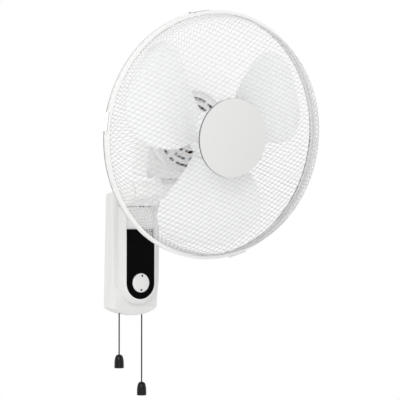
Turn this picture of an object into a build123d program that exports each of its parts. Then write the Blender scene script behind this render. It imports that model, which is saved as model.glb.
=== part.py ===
from build123d import *
from math import cos, pi, radians, sin, sqrt, tan
import os

# Wall mounted fan, in millimetres. +Z is up, the wall is the plane Y = 0 and the fan blows
# towards -Y. The origin is the middle of the mounting plate's back face, on the wall.

os.makedirs("parts", exist_ok=True)

# ---- driving dimensions -------------------------------------------------------------------
# wall box
BOX_W = 98.0            # width of the box
BOX_CORNER_TOP = 109.5  # height of the upper corners above the origin
BOX_CORNER_LOW = -101.5
BOX_TOP = 118.0         # crown of the upper arc
BOX_LOW = -117.0        # lowest point of the lower arc
BOX_D = 31.0            # depth of the box's flat front from the wall
CHIN_START = -50.0      # below this height the front curves back to the wall
CHIN_D = 15.0           # depth at the very bottom
SPLIT_D = 9.0           # parting line between back and front shell
WALL = 2.5              # moulded wall thickness
PLATE_W, PLATE_H, PLATE_T = 64.0, 180.0, 2.0
PLATE_SCREW_GAP = 140.0  # between the two wall screws
PLATE_SCREW_R = 2.75
PLATE_GAP = 0.2         # between the plate and the back shell
FIX_X, FIX_R = 22.0, 2.0  # two screws hold the back shell on the plate
BOX_CORNER_R = 6.0      # rounding of the outline's corners
BOX_EDGE_R = 5.0        # rounding of the front's edges
# raised surround, channel and control panel
SURROUND_BASE_R = 41.0
SURROUND_FACE_R = 34.5
SURROUND_D = 39.5       # depth of the surround's front from the wall
PANEL_R = 30.4          # half width of the panel and radius of its lower end
PANEL_MID = -58.5       # height of the centre of the lower end and of the dial
PANEL_TOP = 42.3
CHANNEL_DEPTH = 3.0
CHANNEL_TOP = 84.0
DIAL_R = 17.8
DIAL_T = 5.6            # thickness in the middle of its dome
DIAL_RIM_T = 2.4
DOT_R = 1.9             # the two sunk dots on the dial's face
SPINDLE_R = 3.0
# pull cords
CORD_R = 1.1
CORD_Y = -13.0
SPEED_X, SPEED_END = 18.3, -246.4   # where the long cord hangs, and where its bell starts
SWING_X, SWING_END = -31.0, -193.1
CORD_TOP = -78.0
BELL_R, BELL_H = 9.1, 25.5
STEM_SHOULDER = 9.0     # height of a stem's square lower block
# tilt hinge at the top of the box
TILT_Y, TILT_Z = -31.0, 110.0
DRUM_R = 25.0
DRUM_HALF = 34.0
CHEEK_IN = 22.0
TILT_PIN_R = 4.0
BOLT_HEAD_R, BOLT_HEAD_T = 7.5, 3.4
NUT_T = 4.6
TILT_REST = 7.5         # the fan's axle dips this much below level at rest
# fan head: stations S run along the axle, 0 at the rim hoop, positive towards the room
HOOP_Y, HOOP_Z = -290.4, 205.1
HOOP_R = 218.4
HOOP_HALF = 5.4         # half width of the hoop's channel
HOOP_BACK = -9.0        # station of the rim behind the shadow groove
HOOP_LIP = HOOP_R - 5.4
RING_R = HOOP_R - 3.9   # outer wire rings inside the hoop
RING_WIRE = 1.9
WIRE_R = 0.9
SPOKES = 36             # wires in each guard
PAN_S = -145.0          # station of the pan axis
SEAT_H = -90.0          # height of the pan seat below the axle
POST_R = 6.0
HOUSING_R = 62.0
HOUSING_BACK, HOUSING_SPLIT, HOUSING_FACE = -178.0, -118.0, -77.0
HOUSING_LOW = -88.0
SHAFT_R = 4.0
HUB_R = 43.0
DISC_R = 68.3
CLIP_ANGLES = {"left": 176.0, "top": 103.0, "right": -4.0, "bottom": -73.0}
BLADE_ANGLE = 27.5      # middle of the first of three blades
BLADE_T = 2.4
GAP = 0.3               # clearance between parts that move past each other

# ---- frames of the tilted head ------------------------------------------------------------
AXLE_DIR = Vector(0, -cos(radians(TILT_REST)), -sin(radians(TILT_REST)))
UP_DIR = Vector(0, -sin(radians(TILT_REST)), cos(radians(TILT_REST)))
HOOP_CENTRE = Vector(0, HOOP_Y, HOOP_Z)
FACE = Plane(origin=HOOP_CENTRE, x_dir=(1, 0, 0), z_dir=AXLE_DIR)
MERIDIAN = Plane(origin=HOOP_CENTRE, x_dir=AXLE_DIR, z_dir=(-1, 0, 0))
AXLE = Axis(HOOP_CENTRE, AXLE_DIR)


def deck(height):
    """Plane across the pan axis: local x is the row's X, local y points backwards."""
    return Plane(origin=HOOP_CENTRE + UP_DIR * height, x_dir=(1, 0, 0), z_dir=UP_DIR)


def finish(part, name):
    part.label = name
    export_step(part, f"parts/{name}.step")


def turned(name, outline):
    """A piece of revolution from its half section, given as (station, radius) points."""
    with BuildPart() as piece:
        with BuildSketch(MERIDIAN):
            with BuildLine():
                Polyline(*outline, close=True)
            make_face()
        revolve(axis=AXLE)
    finish(piece.part, name)


def tube_outline(s0, s1, r0, r1):
    return [(s0, r0), (s1, r0), (s1, r1), (s0, r1)]


# ---- wall box -----------------------------------------------------------------------------
def box_face(inset):
    """Front outline of the wall box: straight sides between two shallow arcs."""
    half = BOX_W / 2
    with BuildSketch() as face:
        with BuildLine():
            ThreePointArc((-half, BOX_CORNER_LOW), (0, BOX_LOW), (half, BOX_CORNER_LOW))
            Line((half, BOX_CORNER_LOW), (half, BOX_CORNER_TOP))
            ThreePointArc((half, BOX_CORNER_TOP), (0, BOX_TOP), (-half, BOX_CORNER_TOP))
            Line((-half, BOX_CORNER_TOP), (-half, BOX_CORNER_LOW))
        make_face()
        fillet(face.vertices(), radius=BOX_CORNER_R)
        if inset:
            offset(amount=-inset, mode=Mode.REPLACE)
    return face.sketch


def box_body(inset, start):
    """The box from depth START to its front, flat above and curved below, drawn INSET inside."""
    front = -(BOX_D - inset)
    chin = -(CHIN_D - inset)
    foot = BOX_LOW - 1
    drop = CHIN_START - foot
    radius = (drop ** 2 + (BOX_D - CHIN_D) ** 2) / (2 * (BOX_D - CHIN_D))
    half_drop = drop / 2
    middle = front + radius - sqrt(radius ** 2 - half_drop ** 2)
    with BuildPart() as body:
        with BuildSketch(Plane.XZ.offset(start)):
            add(box_face(inset))
        extrude(amount=BOX_D - inset - start)
        with BuildSketch(Plane.YZ):
            with BuildLine():
                Polyline((chin, foot), (1, foot), (1, BOX_TOP + 1), (front, BOX_TOP + 1),
                         (front, CHIN_START))
                ThreePointArc((front, CHIN_START), (middle, CHIN_START - half_drop),
                              (chin, foot))
            make_face()
        extrude(amount=BOX_W, both=True, mode=Mode.INTERSECT)
    return body.part


def u_shape(radius, top):
    """Upright outline with a round lower end about the dial's centre."""
    with BuildLine() as outline:
        Line((-radius, top), (-radius, PANEL_MID))
        ThreePointArc((-radius, PANEL_MID), (0, PANEL_MID - radius), (radius, PANEL_MID))
        Polyline((radius, PANEL_MID), (radius, top), (-radius, top))
    make_face(outline.edges())


with BuildPart() as wall_plate:
    with BuildSketch(Plane.XZ):
        RectangleRounded(PLATE_W, PLATE_H, 6)
        with Locations((0, PLATE_SCREW_GAP / 2), (0, -PLATE_SCREW_GAP / 2)):
            Circle(PLATE_SCREW_R, mode=Mode.SUBTRACT)
        with Locations((FIX_X, 0), (-FIX_X, 0)):
            Circle(FIX_R, mode=Mode.SUBTRACT)
    extrude(amount=PLATE_T)
finish(wall_plate.part, "wall_plate")

BOSS_X, BOSS_Z = 38.5, 84.0   # the four shell screws stand at these distances
INLET_X, INLET_Y = -6.0, -4.55
INLET_R = 3.2
INLET_BUSH_R = 4.4
BOSS_R, BOSS_BORE_R, BOSS_BORE = 4.0, 1.6, 12.0
CORD_HOLE_R = 2.9
FLOOR_CUT = 14.0        # height of the cuts from below for inlet and cords
SEAT_GAP = 0.1          # between the hinge drum and the shells that hold it
HEAD_ROOM_R, HEAD_ROOM = 9.5, 8.0   # room for the tilt bolt's head beside the drum
FLOOR = PLATE_T + PLATE_GAP + WALL  # depth of the back shell's inner face

with BuildPart() as drum_space:
    with BuildSketch(Plane.YZ):
        with Locations((TILT_Y, TILT_Z)):
            Circle(DRUM_R + SEAT_GAP)
    extrude(amount=DRUM_HALF + SEAT_GAP, both=True)
    with BuildSketch(Plane.YZ):
        with Locations((TILT_Y, TILT_Z)):
            Circle(HEAD_ROOM_R)
    extrude(amount=DRUM_HALF + HEAD_ROOM)

with BuildPart() as back_shell:
    with BuildSketch(Plane.XZ):
        add(box_face(0))
    extrude(amount=SPLIT_D)
    with BuildSketch(Plane.XZ):
        add(box_face(WALL))
    extrude(amount=SPLIT_D, mode=Mode.SUBTRACT)
    with BuildSketch(Plane.XZ.offset(PLATE_T + PLATE_GAP)):
        add(box_face(WALL - 0.5))
    extrude(amount=WALL)
    with BuildSketch(Plane.XZ):
        with Locations((FIX_X, 0), (-FIX_X, 0)):
            Circle(FIX_R + 0.1)
        with GridLocations(2 * BOSS_X, 2 * BOSS_Z, 2, 2):
            Circle(BOSS_BORE_R + GAP)
    extrude(amount=SPLIT_D, mode=Mode.SUBTRACT)
    with BuildSketch(Plane.XY.offset(BOX_LOW - 1)):
        with Locations((INLET_X, INLET_Y)):
            Circle(INLET_BUSH_R + 0.1)
    extrude(amount=FLOOR_CUT, mode=Mode.SUBTRACT)
    add(drum_space.part, mode=Mode.SUBTRACT)
finish(back_shell.part, "base_back_shell")

with BuildPart() as front_shell:
    add(box_body(0, SPLIT_D))
    rim = front_shell.edges().filter_by(Axis.Y, reverse=True)
    rim = rim.filter_by(lambda e: e.center().Y < -SPLIT_D - 1 and abs(e.center().Z - CHIN_START) > 1)
    fillet(rim, radius=BOX_EDGE_R)
    with BuildSketch(Plane.XZ.offset(CHIN_D)):
        u_shape(SURROUND_BASE_R, CHANNEL_TOP)
    extrude(amount=BOX_D - CHIN_D - 1)
    with BuildSketch(Plane.XZ.offset(BOX_D - 1)):
        u_shape(SURROUND_BASE_R, CHANNEL_TOP)
    with BuildSketch(Plane.XZ.offset(SURROUND_D)):
        u_shape(SURROUND_FACE_R, CHANNEL_TOP)
    loft()
    add(box_body(WALL, SPLIT_D - 0.01), mode=Mode.SUBTRACT)
    with BuildSketch(Plane.XZ.offset(SPLIT_D + 4)):
        u_shape(SURROUND_FACE_R - 4, CHANNEL_TOP - 4)
    extrude(amount=SURROUND_D - CHANNEL_DEPTH - WALL - SPLIT_D - 4, mode=Mode.SUBTRACT)
    with BuildSketch(Plane.XZ.offset(SURROUND_D - CHANNEL_DEPTH)):
        u_shape(PANEL_R + 0.2, CHANNEL_TOP + 1)
    extrude(amount=CHANNEL_DEPTH + 1, mode=Mode.SUBTRACT)
    for level, reach in ((BOSS_Z, 20.5), (-BOSS_Z, 17.0)):
        with BuildSketch(Plane.XZ.offset(SPLIT_D)):
            with Locations((BOSS_X, level), (-BOSS_X, level)):
                Circle(BOSS_R)
        extrude(amount=reach)
        with BuildSketch(Plane.XZ.offset(SPLIT_D)):
            with Locations((BOSS_X, level), (-BOSS_X, level)):
                Circle(BOSS_BORE_R)
        extrude(amount=BOSS_BORE, mode=Mode.SUBTRACT)
    with BuildSketch(Plane.XZ.offset(SPLIT_D)):
        with Locations((0, PANEL_MID)):
            Circle(SPINDLE_R + GAP)
    extrude(amount=SURROUND_D, mode=Mode.SUBTRACT)
    with BuildSketch(Plane.XY.offset(BOX_LOW - 1)):
        with Locations((SPEED_X, CORD_Y), (SWING_X, CORD_Y)):
            Circle(CORD_HOLE_R)
    extrude(amount=FLOOR_CUT, mode=Mode.SUBTRACT)
    add(drum_space.part, mode=Mode.SUBTRACT)
finish(front_shell.part, "base_front_shell")

with BuildPart() as control_panel:
    with BuildSketch(Plane.XZ.offset(SURROUND_D - CHANNEL_DEPTH)):
        u_shape(PANEL_R, PANEL_TOP)
        with Locations((0, PANEL_MID)):
            Circle(SPINDLE_R + GAP, mode=Mode.SUBTRACT)
    extrude(amount=CHANNEL_DEPTH - 0.3)
    fillet(control_panel.faces().sort_by(Axis.Y)[0].outer_wire().edges(), radius=0.6)
finish(control_panel.part, "control_panel")

with BuildPart() as shell_screws:
    with BuildSketch(Plane.XZ.offset(1.0)):
        with GridLocations(2 * BOSS_X, 2 * BOSS_Z, 2, 2):
            Circle(3.2)
    extrude(amount=PLATE_T + PLATE_GAP - 1.0)
    with BuildSketch(Plane.XZ.offset(1.5)):
        with GridLocations(2 * BOSS_X, 2 * BOSS_Z, 2, 2):
            Circle(1.5)
    extrude(amount=15)
finish(shell_screws.part, "shell_screws")

with BuildPart() as plate_screws:
    with BuildSketch(Plane.XZ.offset(0.3)):
        with Locations((FIX_X, 0), (-FIX_X, 0)):
            Circle(FIX_R - 0.05)
    extrude(amount=FLOOR + 1.0)
    with BuildSketch(Plane.XZ.offset(FLOOR)):
        with Locations((FIX_X, 0), (-FIX_X, 0)):
            Circle(1.8 * FIX_R)
    extrude(amount=2.4)
finish(plate_screws.part, "plate_screws")

# ---- switches, dial and pull cords ----------------------------------------------------------
SWITCH_LOW = -58.0      # underside of both pull switches
STEM_R = 2.0
SOCKET_H = 2.6          # how far the dial's socket takes the spindle


def pull_switch(x, name, round_body):
    """A switch case with a bore from below for its pull stem."""
    with BuildPart() as switch:
        with BuildSketch(Plane.XY.offset(SWITCH_LOW)):
            with Locations((x, CORD_Y)):
                RectangleRounded(12, 16.4, 1.5)
        extrude(amount=26)
        if round_body:
            with BuildSketch(Plane.XZ.offset(-CORD_Y - 6)):
                with Locations((0, PANEL_MID)):
                    Circle(13)
            extrude(amount=21)
        else:
            with BuildSketch(Plane.XY.offset(SWITCH_LOW + 6)):
                with Locations((x + 10, CORD_Y)):
                    RectangleRounded(12, 12, 1.5)
            extrude(amount=16)
        with BuildSketch(Plane.XY.offset(SWITCH_LOW)):
            with Locations((x, CORD_Y)):
                Circle(STEM_R + 0.06)
        extrude(amount=22, mode=Mode.SUBTRACT)
        if round_body:
            with BuildSketch(Plane.XZ.offset(-CORD_Y + 3)):
                with Locations((0, PANEL_MID)):
                    Circle(SPINDLE_R + 0.06)
            extrude(amount=14, mode=Mode.SUBTRACT)
    finish(switch.part, name)


pull_switch(SPEED_X, "speed_switch", True)
pull_switch(SWING_X, "swing_switch", False)

with BuildPart() as dial_spindle:
    with BuildSketch(Plane.XZ.offset(-CORD_Y + 5)):
        with Locations((0, PANEL_MID)):
            Circle(SPINDLE_R)
    extrude(amount=SURROUND_D + SOCKET_H - 0.1 + CORD_Y - 5)
finish(dial_spindle.part, "dial_spindle")

with BuildPart() as speed_dial:
    with BuildSketch(Plane.YZ):
        with BuildLine():
            dial_back = -(SURROUND_D + 0.2)
            dial_front = dial_back - DIAL_T
            dial_edge = PANEL_MID + DIAL_R
            dial_rim = dial_back - DIAL_RIM_T
            dome = dial_rim - dial_front
            Polyline((dial_rim, dial_edge - 0.8), (dial_rim + 0.8, dial_edge), (dial_back, dial_edge),
                     (dial_back, PANEL_MID), (dial_front, PANEL_MID))
            ThreePointArc((dial_front, PANEL_MID), (dial_front + 0.25 * dome, PANEL_MID + DIAL_R / 2),
                          (dial_rim, dial_edge - 0.8))
        make_face()
    revolve(axis=Axis((0, 0, PANEL_MID), (0, 1, 0)))
    with BuildSketch(Plane.XZ.offset(SURROUND_D)):
        with Locations((0, PANEL_MID)):
            Circle(SPINDLE_R + 0.03)
    extrude(amount=SOCKET_H, mode=Mode.SUBTRACT)
    with BuildSketch(Plane.XZ.offset(SURROUND_D + DIAL_T - 2.3)):
        with Locations((1.5, PANEL_MID + 13.2), (-0.5, PANEL_MID - 13.2)):
            Circle(DOT_R)
    extrude(amount=DIAL_T, mode=Mode.SUBTRACT)
finish(speed_dial.part, "speed_dial")


def pull_set(x, end, prefix):
    """Stem with eyelet, hanging cord and bell of one pull switch."""
    with BuildPart() as stem:
        with BuildSketch(Plane.XY.offset(CORD_TOP)):
            with Locations((x, CORD_Y)):
                RectangleRounded(6.4, 6.4, 1.2)
        extrude(amount=STEM_SHOULDER)
        with BuildSketch(Plane.XY.offset(CORD_TOP + STEM_SHOULDER)):
            with Locations((x, CORD_Y)):
                Circle(STEM_R)
        extrude(amount=SWITCH_LOW + 19 - CORD_TOP - STEM_SHOULDER)
        with BuildSketch(Plane.XZ.offset(-CORD_Y - 5)):
            with Locations((x, CORD_TOP + 5.5)):
                Circle(1.3)
        extrude(amount=10, mode=Mode.SUBTRACT)
    finish(stem.part, f"{prefix}_pull_stem")
    with BuildPart() as cord:
        with BuildSketch(Plane.XY.offset(end)):
            with Locations((x, CORD_Y)):
                Circle(CORD_R)
        extrude(amount=CORD_TOP - end)
    finish(cord.part, f"{prefix}_cord")
    with BuildPart() as bell:
        with BuildSketch(Plane(origin=(x, CORD_Y, end), x_dir=(1, 0, 0), z_dir=(0, -1, 0))):
            with BuildLine():
                Polyline((0, 0), (0, -BELL_H), (BELL_R - 0.6, -BELL_H), (BELL_R, -BELL_H + 0.8))
                Spline((BELL_R, -BELL_H + 0.8), (BELL_R - 0.3, -BELL_H * 0.5),
                       (BELL_R - 1.3, -6.6), (5.6, -1.8), (2.2, 0),
                       tangents=((-0.04, 1), (-1, 0.15)))
                Line((2.2, 0), (0, 0))
            make_face()
        revolve(axis=Axis((x, CORD_Y, end), (0, 0, 1)))
    finish(bell.part, f"{prefix}_bell")
    print(prefix, "cord length", round(CORD_TOP - end, 1), "volume ratio",
          round(cord.part.volume / (pi * CORD_R ** 2 * (CORD_TOP - end)), 4))


pull_set(SPEED_X, SPEED_END, "speed")
pull_set(SWING_X, SWING_END, "swing")

LOW_ARC_RISE = BOX_CORNER_LOW - BOX_LOW
LOW_ARC_R = ((BOX_W / 2) ** 2 + LOW_ARC_RISE ** 2) / (2 * LOW_ARC_RISE)

with BuildPart() as cord_bushes:
    for x in (SPEED_X, SWING_X):
        skin = BOX_LOW + LOW_ARC_R - sqrt(LOW_ARC_R ** 2 - x ** 2)
        with BuildSketch(Plane.XY.offset(skin - 0.6)):
            with Locations((x, CORD_Y)):
                Circle(CORD_HOLE_R - 0.1)
                Circle(CORD_R + 0.4, mode=Mode.SUBTRACT)
        extrude(amount=7.5)
finish(cord_bushes.part, "cord_bushes")

with BuildPart() as cable_inlet:
    with BuildSketch(Plane.XY.offset(BOX_LOW + 0.2)):
        with Locations((INLET_X, INLET_Y)):
            Circle(INLET_BUSH_R)
            Circle(INLET_R, mode=Mode.SUBTRACT)
    extrude(amount=10)
finish(cable_inlet.part, "cable_inlet")

TERMINAL_X, TERMINAL_Z = -14.0, -20.0   # middle of the terminal block
TERMINAL_H = 11.0

with BuildPart() as terminal_block:
    with BuildSketch(Plane.XZ.offset(FLOOR)):
        with Locations((TERMINAL_X, TERMINAL_Z)):
            RectangleRounded(30, 14, 1.5)
    extrude(amount=TERMINAL_H)
    with BuildSketch(Plane.XZ.offset(FLOOR + TERMINAL_H - 4)):
        with Locations((TERMINAL_X, TERMINAL_Z)):
            with GridLocations(10, 10, 3, 1):
                Circle(2.4)
    extrude(amount=5, mode=Mode.SUBTRACT)
finish(terminal_block.part, "terminal_block")

with BuildPart() as capacitor:
    with BuildSketch(Plane.XZ.offset(FLOOR)):
        with Locations((16, 22)):
            RectangleRounded(36, 24, 2.5)
    extrude(amount=17)
    fillet(capacitor.faces().sort_by(Axis.Y)[0].edges(), radius=2)
finish(capacitor.part, "motor_capacitor")

# ---- tilt hinge -----------------------------------------------------------------------------
# The bolt goes in from the right and ends in a nut held in the left cheek, whose end is closed.
BOLT_END = -CHEEK_IN - NUT_T - 1.5

with BuildPart() as neck_bracket:
    with BuildSketch(Plane.YZ):
        with Locations((TILT_Y, TILT_Z)):
            Circle(DRUM_R)
    extrude(amount=DRUM_HALF, both=True)
    fillet(neck_bracket.edges().filter_by(GeomType.CIRCLE), radius=2.5)
    with BuildSketch(Plane.YZ):
        with Locations((TILT_Y + 13, 88)):
            Rectangle(20, 26)
    extrude(amount=DRUM_HALF - 3, both=True)
    with BuildSketch(Plane.YZ):
        with Locations((TILT_Y, TILT_Z)):
            Circle(DRUM_R + 0.6)
        with Locations((TILT_Y - 8, 92)):
            Rectangle(40, 14)
    extrude(amount=CHEEK_IN, both=True, mode=Mode.SUBTRACT)
    with BuildSketch(Plane.YZ.offset(BOLT_END - 1)):
        with Locations((TILT_Y, TILT_Z)):
            Circle(TILT_PIN_R + 0.04)
    extrude(amount=DRUM_HALF - BOLT_END + 2, mode=Mode.SUBTRACT)
    with BuildSketch(Plane.YZ.offset(-CHEEK_IN - NUT_T - GAP)):
        with Locations((TILT_Y, TILT_Z)):
            RegularPolygon(BOLT_HEAD_R + 0.1, 6)
    extrude(amount=NUT_T + GAP, mode=Mode.SUBTRACT)
finish(neck_bracket.part, "neck_bracket")

with BuildPart() as tilt_bolt:
    with BuildSketch(Plane.YZ.offset(DRUM_HALF)):
        with Locations((TILT_Y, TILT_Z)):
            Circle(BOLT_HEAD_R)
    extrude(amount=BOLT_HEAD_T)
    with BuildSketch(Plane.YZ.offset(BOLT_END)):
        with Locations((TILT_Y, TILT_Z)):
            Circle(TILT_PIN_R)
    extrude(amount=DRUM_HALF - BOLT_END + 1)
finish(tilt_bolt.part, "tilt_bolt")

with BuildPart() as tilt_nut:
    with BuildSketch(Plane.YZ.offset(-CHEEK_IN - NUT_T - GAP / 2)):
        with Locations((TILT_Y, TILT_Z)):
            RegularPolygon(BOLT_HEAD_R, 6)
            Circle(TILT_PIN_R + 0.03, mode=Mode.SUBTRACT)
    extrude(amount=NUT_T)
finish(tilt_nut.part, "tilt_nut")

SEAT = HOOP_CENTRE + AXLE_DIR * PAN_S + UP_DIR * SEAT_H
ARM_W = 42.0
KNUCKLE_HALF = CHEEK_IN - 0.5
TURNTABLE_R, TURNTABLE_T = 24.0, 12.0   # round top of the arm, under the pan bush
POST_SUNK = 10.0        # how deep the pan post sits in the arm

with BuildPart() as tilt_knuckle:
    with BuildSketch(Plane.YZ):
        with Locations((TILT_Y, TILT_Z)):
            Circle(DRUM_R - 0.4)
    extrude(amount=KNUCKLE_HALF, both=True)
    with BuildSketch(Plane.YZ):
        with BuildLine():
            Polyline((TILT_Y, TILT_Z + 22), (TILT_Y - 30, TILT_Z + 20), (SEAT.Y + 26, SEAT.Z - 7),
                     (SEAT.Y - 24, SEAT.Z - 12), (SEAT.Y - 16, SEAT.Z - 26),
                     (TILT_Y - 26, TILT_Z - 16), (TILT_Y, TILT_Z - 18), close=True)
        make_face()
    extrude(amount=ARM_W / 2, both=True)
    with BuildSketch(deck(SEAT_H - TURNTABLE_T)):
        with Locations((0, -PAN_S)):
            Circle(TURNTABLE_R)
    extrude(amount=TURNTABLE_T)
    with BuildSketch(deck(SEAT_H - POST_SUNK)):
        with Locations((0, -PAN_S)):
            Circle(POST_R)
    extrude(amount=POST_SUNK + 2, mode=Mode.SUBTRACT)
    with BuildSketch(Plane.YZ):
        with Locations((TILT_Y, TILT_Z)):
            Circle(TILT_PIN_R + 0.06)
    extrude(amount=ARM_W, both=True, mode=Mode.SUBTRACT)
finish(tilt_knuckle.part, "tilt_knuckle")

with BuildPart() as pan_post:
    with BuildSketch(deck(SEAT_H - POST_SUNK)):
        with Locations((0, -PAN_S)):
            Circle(POST_R)
    extrude(amount=POST_SUNK + 22)
finish(pan_post.part, "pan_post")

with BuildPart() as pan_clip_ring:
    with BuildSketch(deck(SEAT_H + 12.6)):
        with Locations((0, -PAN_S)):
            Circle(9.5)
            Circle(POST_R + 0.02, mode=Mode.SUBTRACT)
    extrude(amount=1.4)
finish(pan_clip_ring.part, "pan_retaining_ring")

# ---- motor ------------------------------------------------------------------------------------
def housing_outline(inset):
    """Round over the motor, with straight sides down to the swing gear space."""
    radius = HOUSING_R - inset
    with BuildLine() as outline:
        ThreePointArc((radius, 0), (0, radius), (-radius, 0))
        Polyline((-radius, 0), (-radius, HOUSING_LOW + inset), (radius, HOUSING_LOW + inset),
                 (radius, 0))
    make_face(outline.edges())


def housing_block(inset, start, length, corner):
    """Solid of the rear housing's outline with its back edge rounded."""
    with BuildPart() as block:
        with BuildSketch(FACE.offset(start)) as outline:
            housing_outline(inset)
            fillet(outline.vertices().group_by(SortBy.DISTANCE)[-1], radius=corner)
        extrude(amount=length)
        back = block.faces().sort_by(Axis(HOOP_CENTRE, AXLE_DIR))[0]
        fillet(back.edges(), radius=corner - 1)
    return block.part


BUSH_R = 10.0
SLOT_PITCH, SLOT_LONG, SLOT_W = 8.0, 52.0, 3.2   # cooling slots in the housing's back

with BuildPart() as housing_rear:
    add(housing_block(0, HOUSING_BACK, HOUSING_SPLIT - HOUSING_BACK, 11))
    add(housing_block(WALL, HOUSING_BACK + WALL, HOUSING_SPLIT - HOUSING_BACK - 2 * WALL, 8.5),
        mode=Mode.SUBTRACT)
    with BuildSketch(FACE.offset(HOUSING_SPLIT - WALL - 1)):
        Circle(HOUSING_R - WALL)
    extrude(amount=WALL + 2, mode=Mode.SUBTRACT)
    with BuildSketch(deck(HOUSING_LOW - 1)):
        with Locations((0, -PAN_S)):
            Circle(BUSH_R + 0.05)
    extrude(amount=WALL + 2, mode=Mode.SUBTRACT)
    for x in range(-5, 6):
        with BuildSketch(FACE.offset(HOUSING_BACK - 1)):
            with Locations((x * SLOT_PITCH, 0)):
                SlotOverall(SLOT_LONG - 3.4 * abs(x), SLOT_W, rotation=90)
        extrude(amount=WALL + 2, mode=Mode.SUBTRACT)
finish(housing_rear.part, "motor_housing_rear")

with BuildPart() as pan_bush:
    with BuildSketch(deck(HOUSING_LOW)):
        with Locations((0, -PAN_S)):
            Circle(BUSH_R)
            Circle(POST_R + 0.06, mode=Mode.SUBTRACT)
    extrude(amount=10)
    with BuildSketch(deck(HOUSING_LOW + WALL)):
        with Locations((0, -PAN_S)):
            Circle(BUSH_R + 4)
            Circle(POST_R + 0.06, mode=Mode.SUBTRACT)
    extrude(amount=2.5)
finish(pan_bush.part, "pan_bush")

VENT_RADII = (36.0, 48.5, 61.0)
VENT_W = 5.0
BELLY_S, BELLY_R = -92.0, 70.5      # widest place of the front housing
NECK_R, NECK_BORE_R, NECK_S = 23.5, 14.5, -60.0   # threaded neck that carries the guard
with BuildPart() as housing_front:
    with BuildSketch(MERIDIAN):
        with BuildLine():
            Line((HOUSING_SPLIT, HOUSING_R - WALL), (HOUSING_SPLIT, HOUSING_R))
            Spline((HOUSING_SPLIT, HOUSING_R), (-106, BELLY_R - 3), (BELLY_S, BELLY_R),
                   tangents=((1, 0.35), (1, 0)))
            ThreePointArc((BELLY_S, BELLY_R), (-81.3, BELLY_R - 3.3), (HOUSING_FACE, BELLY_R - 6))
            Polyline((HOUSING_FACE, BELLY_R - 6), (HOUSING_FACE, NECK_R), (NECK_S, NECK_R),
                     (NECK_S, NECK_BORE_R), (HOUSING_FACE - WALL, NECK_BORE_R),
                     (HOUSING_FACE - WALL, BELLY_R - 7.5), (-84, BELLY_R - 4.5),
                     (BELLY_S, BELLY_R - WALL), (-106, BELLY_R - 5.5),
                     (HOUSING_SPLIT, HOUSING_R - WALL))
        make_face()
    revolve(axis=AXLE)
    for radius in VENT_RADII:
        with BuildSketch(FACE.offset(HOUSING_FACE - WALL - 1)):
            Circle(radius + VENT_W / 2)
            Circle(radius - VENT_W / 2, mode=Mode.SUBTRACT)
            for angle in (0, 36, 72, 108, 144):
                Rectangle(160, 6, rotation=angle + radius, mode=Mode.SUBTRACT)
        extrude(amount=WALL + 2, mode=Mode.SUBTRACT)
finish(housing_front.part, "motor_housing_front")

CORE_BACK, CORE_FACE = -150.0, -114.0   # stations of the steel core's ends
CORE_R, ROTOR_R = 48.0, 21.6
BEARING_R = 9.0
FRONT_SHIELD_S, REAR_SHIELD_S, SHIELD_T = -106.0, -162.0, 2.5
BOLT_CIRCLE_R, MOTOR_BOLT_R = 53.0, 2.0

turned("motor_shaft", tube_outline(-170, 31, 0.0, SHAFT_R))
turned("rotor", tube_outline(CORE_BACK, CORE_FACE, SHAFT_R + 0.02, ROTOR_R))
with BuildPart() as stator:
    with BuildSketch(FACE.offset(CORE_BACK)):
        Circle(CORE_R)
        Circle(ROTOR_R + 0.5, mode=Mode.SUBTRACT)
        with PolarLocations(36, 12):
            RectangleRounded(16, 6, 1.5, mode=Mode.SUBTRACT)
    extrude(amount=CORE_FACE - CORE_BACK)
finish(stator.part, "stator")
turned("stator_windings", tube_outline(CORE_FACE + 0.2, CORE_FACE + 3.8, 27, 45))
turned("front_bearing", tube_outline(-108, -98, SHAFT_R + 0.05, BEARING_R))
turned("rear_bearing", tube_outline(-166, -156, SHAFT_R + 0.05, BEARING_R))


def end_shield(name, station):
    """Steel disc that holds a bearing, with six windows for the air."""
    with BuildPart() as shield:
        with BuildSketch(FACE.offset(station)):
            Circle(HOUSING_R - WALL - 0.2)
            Circle(BEARING_R + 0.03, mode=Mode.SUBTRACT)
            with PolarLocations(36, 6):
                RectangleRounded(20, 14, 3, mode=Mode.SUBTRACT)
            with PolarLocations(BOLT_CIRCLE_R, 4, start_angle=45):
                Circle(MOTOR_BOLT_R + 0.1, mode=Mode.SUBTRACT)
        extrude(amount=SHIELD_T)
    finish(shield.part, name)


end_shield("front_end_shield", FRONT_SHIELD_S)
end_shield("rear_end_shield", REAR_SHIELD_S)

with BuildPart() as motor_bolts:
    with BuildSketch(FACE.offset(REAR_SHIELD_S - 2)):
        with PolarLocations(BOLT_CIRCLE_R, 4, start_angle=45):
            Circle(MOTOR_BOLT_R)
    extrude(amount=FRONT_SHIELD_S - REAR_SHIELD_S + SHIELD_T + 3.5)
    with BuildSketch(FACE.offset(REAR_SHIELD_S - 3)):
        with PolarLocations(BOLT_CIRCLE_R, 4, start_angle=45):
            RegularPolygon(1.8 * MOTOR_BOLT_R, 6)
    extrude(amount=3)
finish(motor_bolts.part, "motor_bolts")

# the small motor of the swing gear: distance to the side and behind the hoop, along the seat
SWING_MOTOR_X, SWING_MOTOR_B = 36.0, 150.0
with BuildPart() as swing_motor:
    with BuildSketch(deck(HOUSING_LOW + WALL + 4)):
        with Locations((SWING_MOTOR_X, SWING_MOTOR_B)):
            Circle(19)
    extrude(amount=15)
    with BuildSketch(deck(HOUSING_LOW + WALL)):
        with Locations((SWING_MOTOR_X, SWING_MOTOR_B)):
            with PolarLocations(15, 3, start_angle=60):
                Circle(2)
    extrude(amount=4)
finish(swing_motor.part, "swing_motor")

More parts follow.
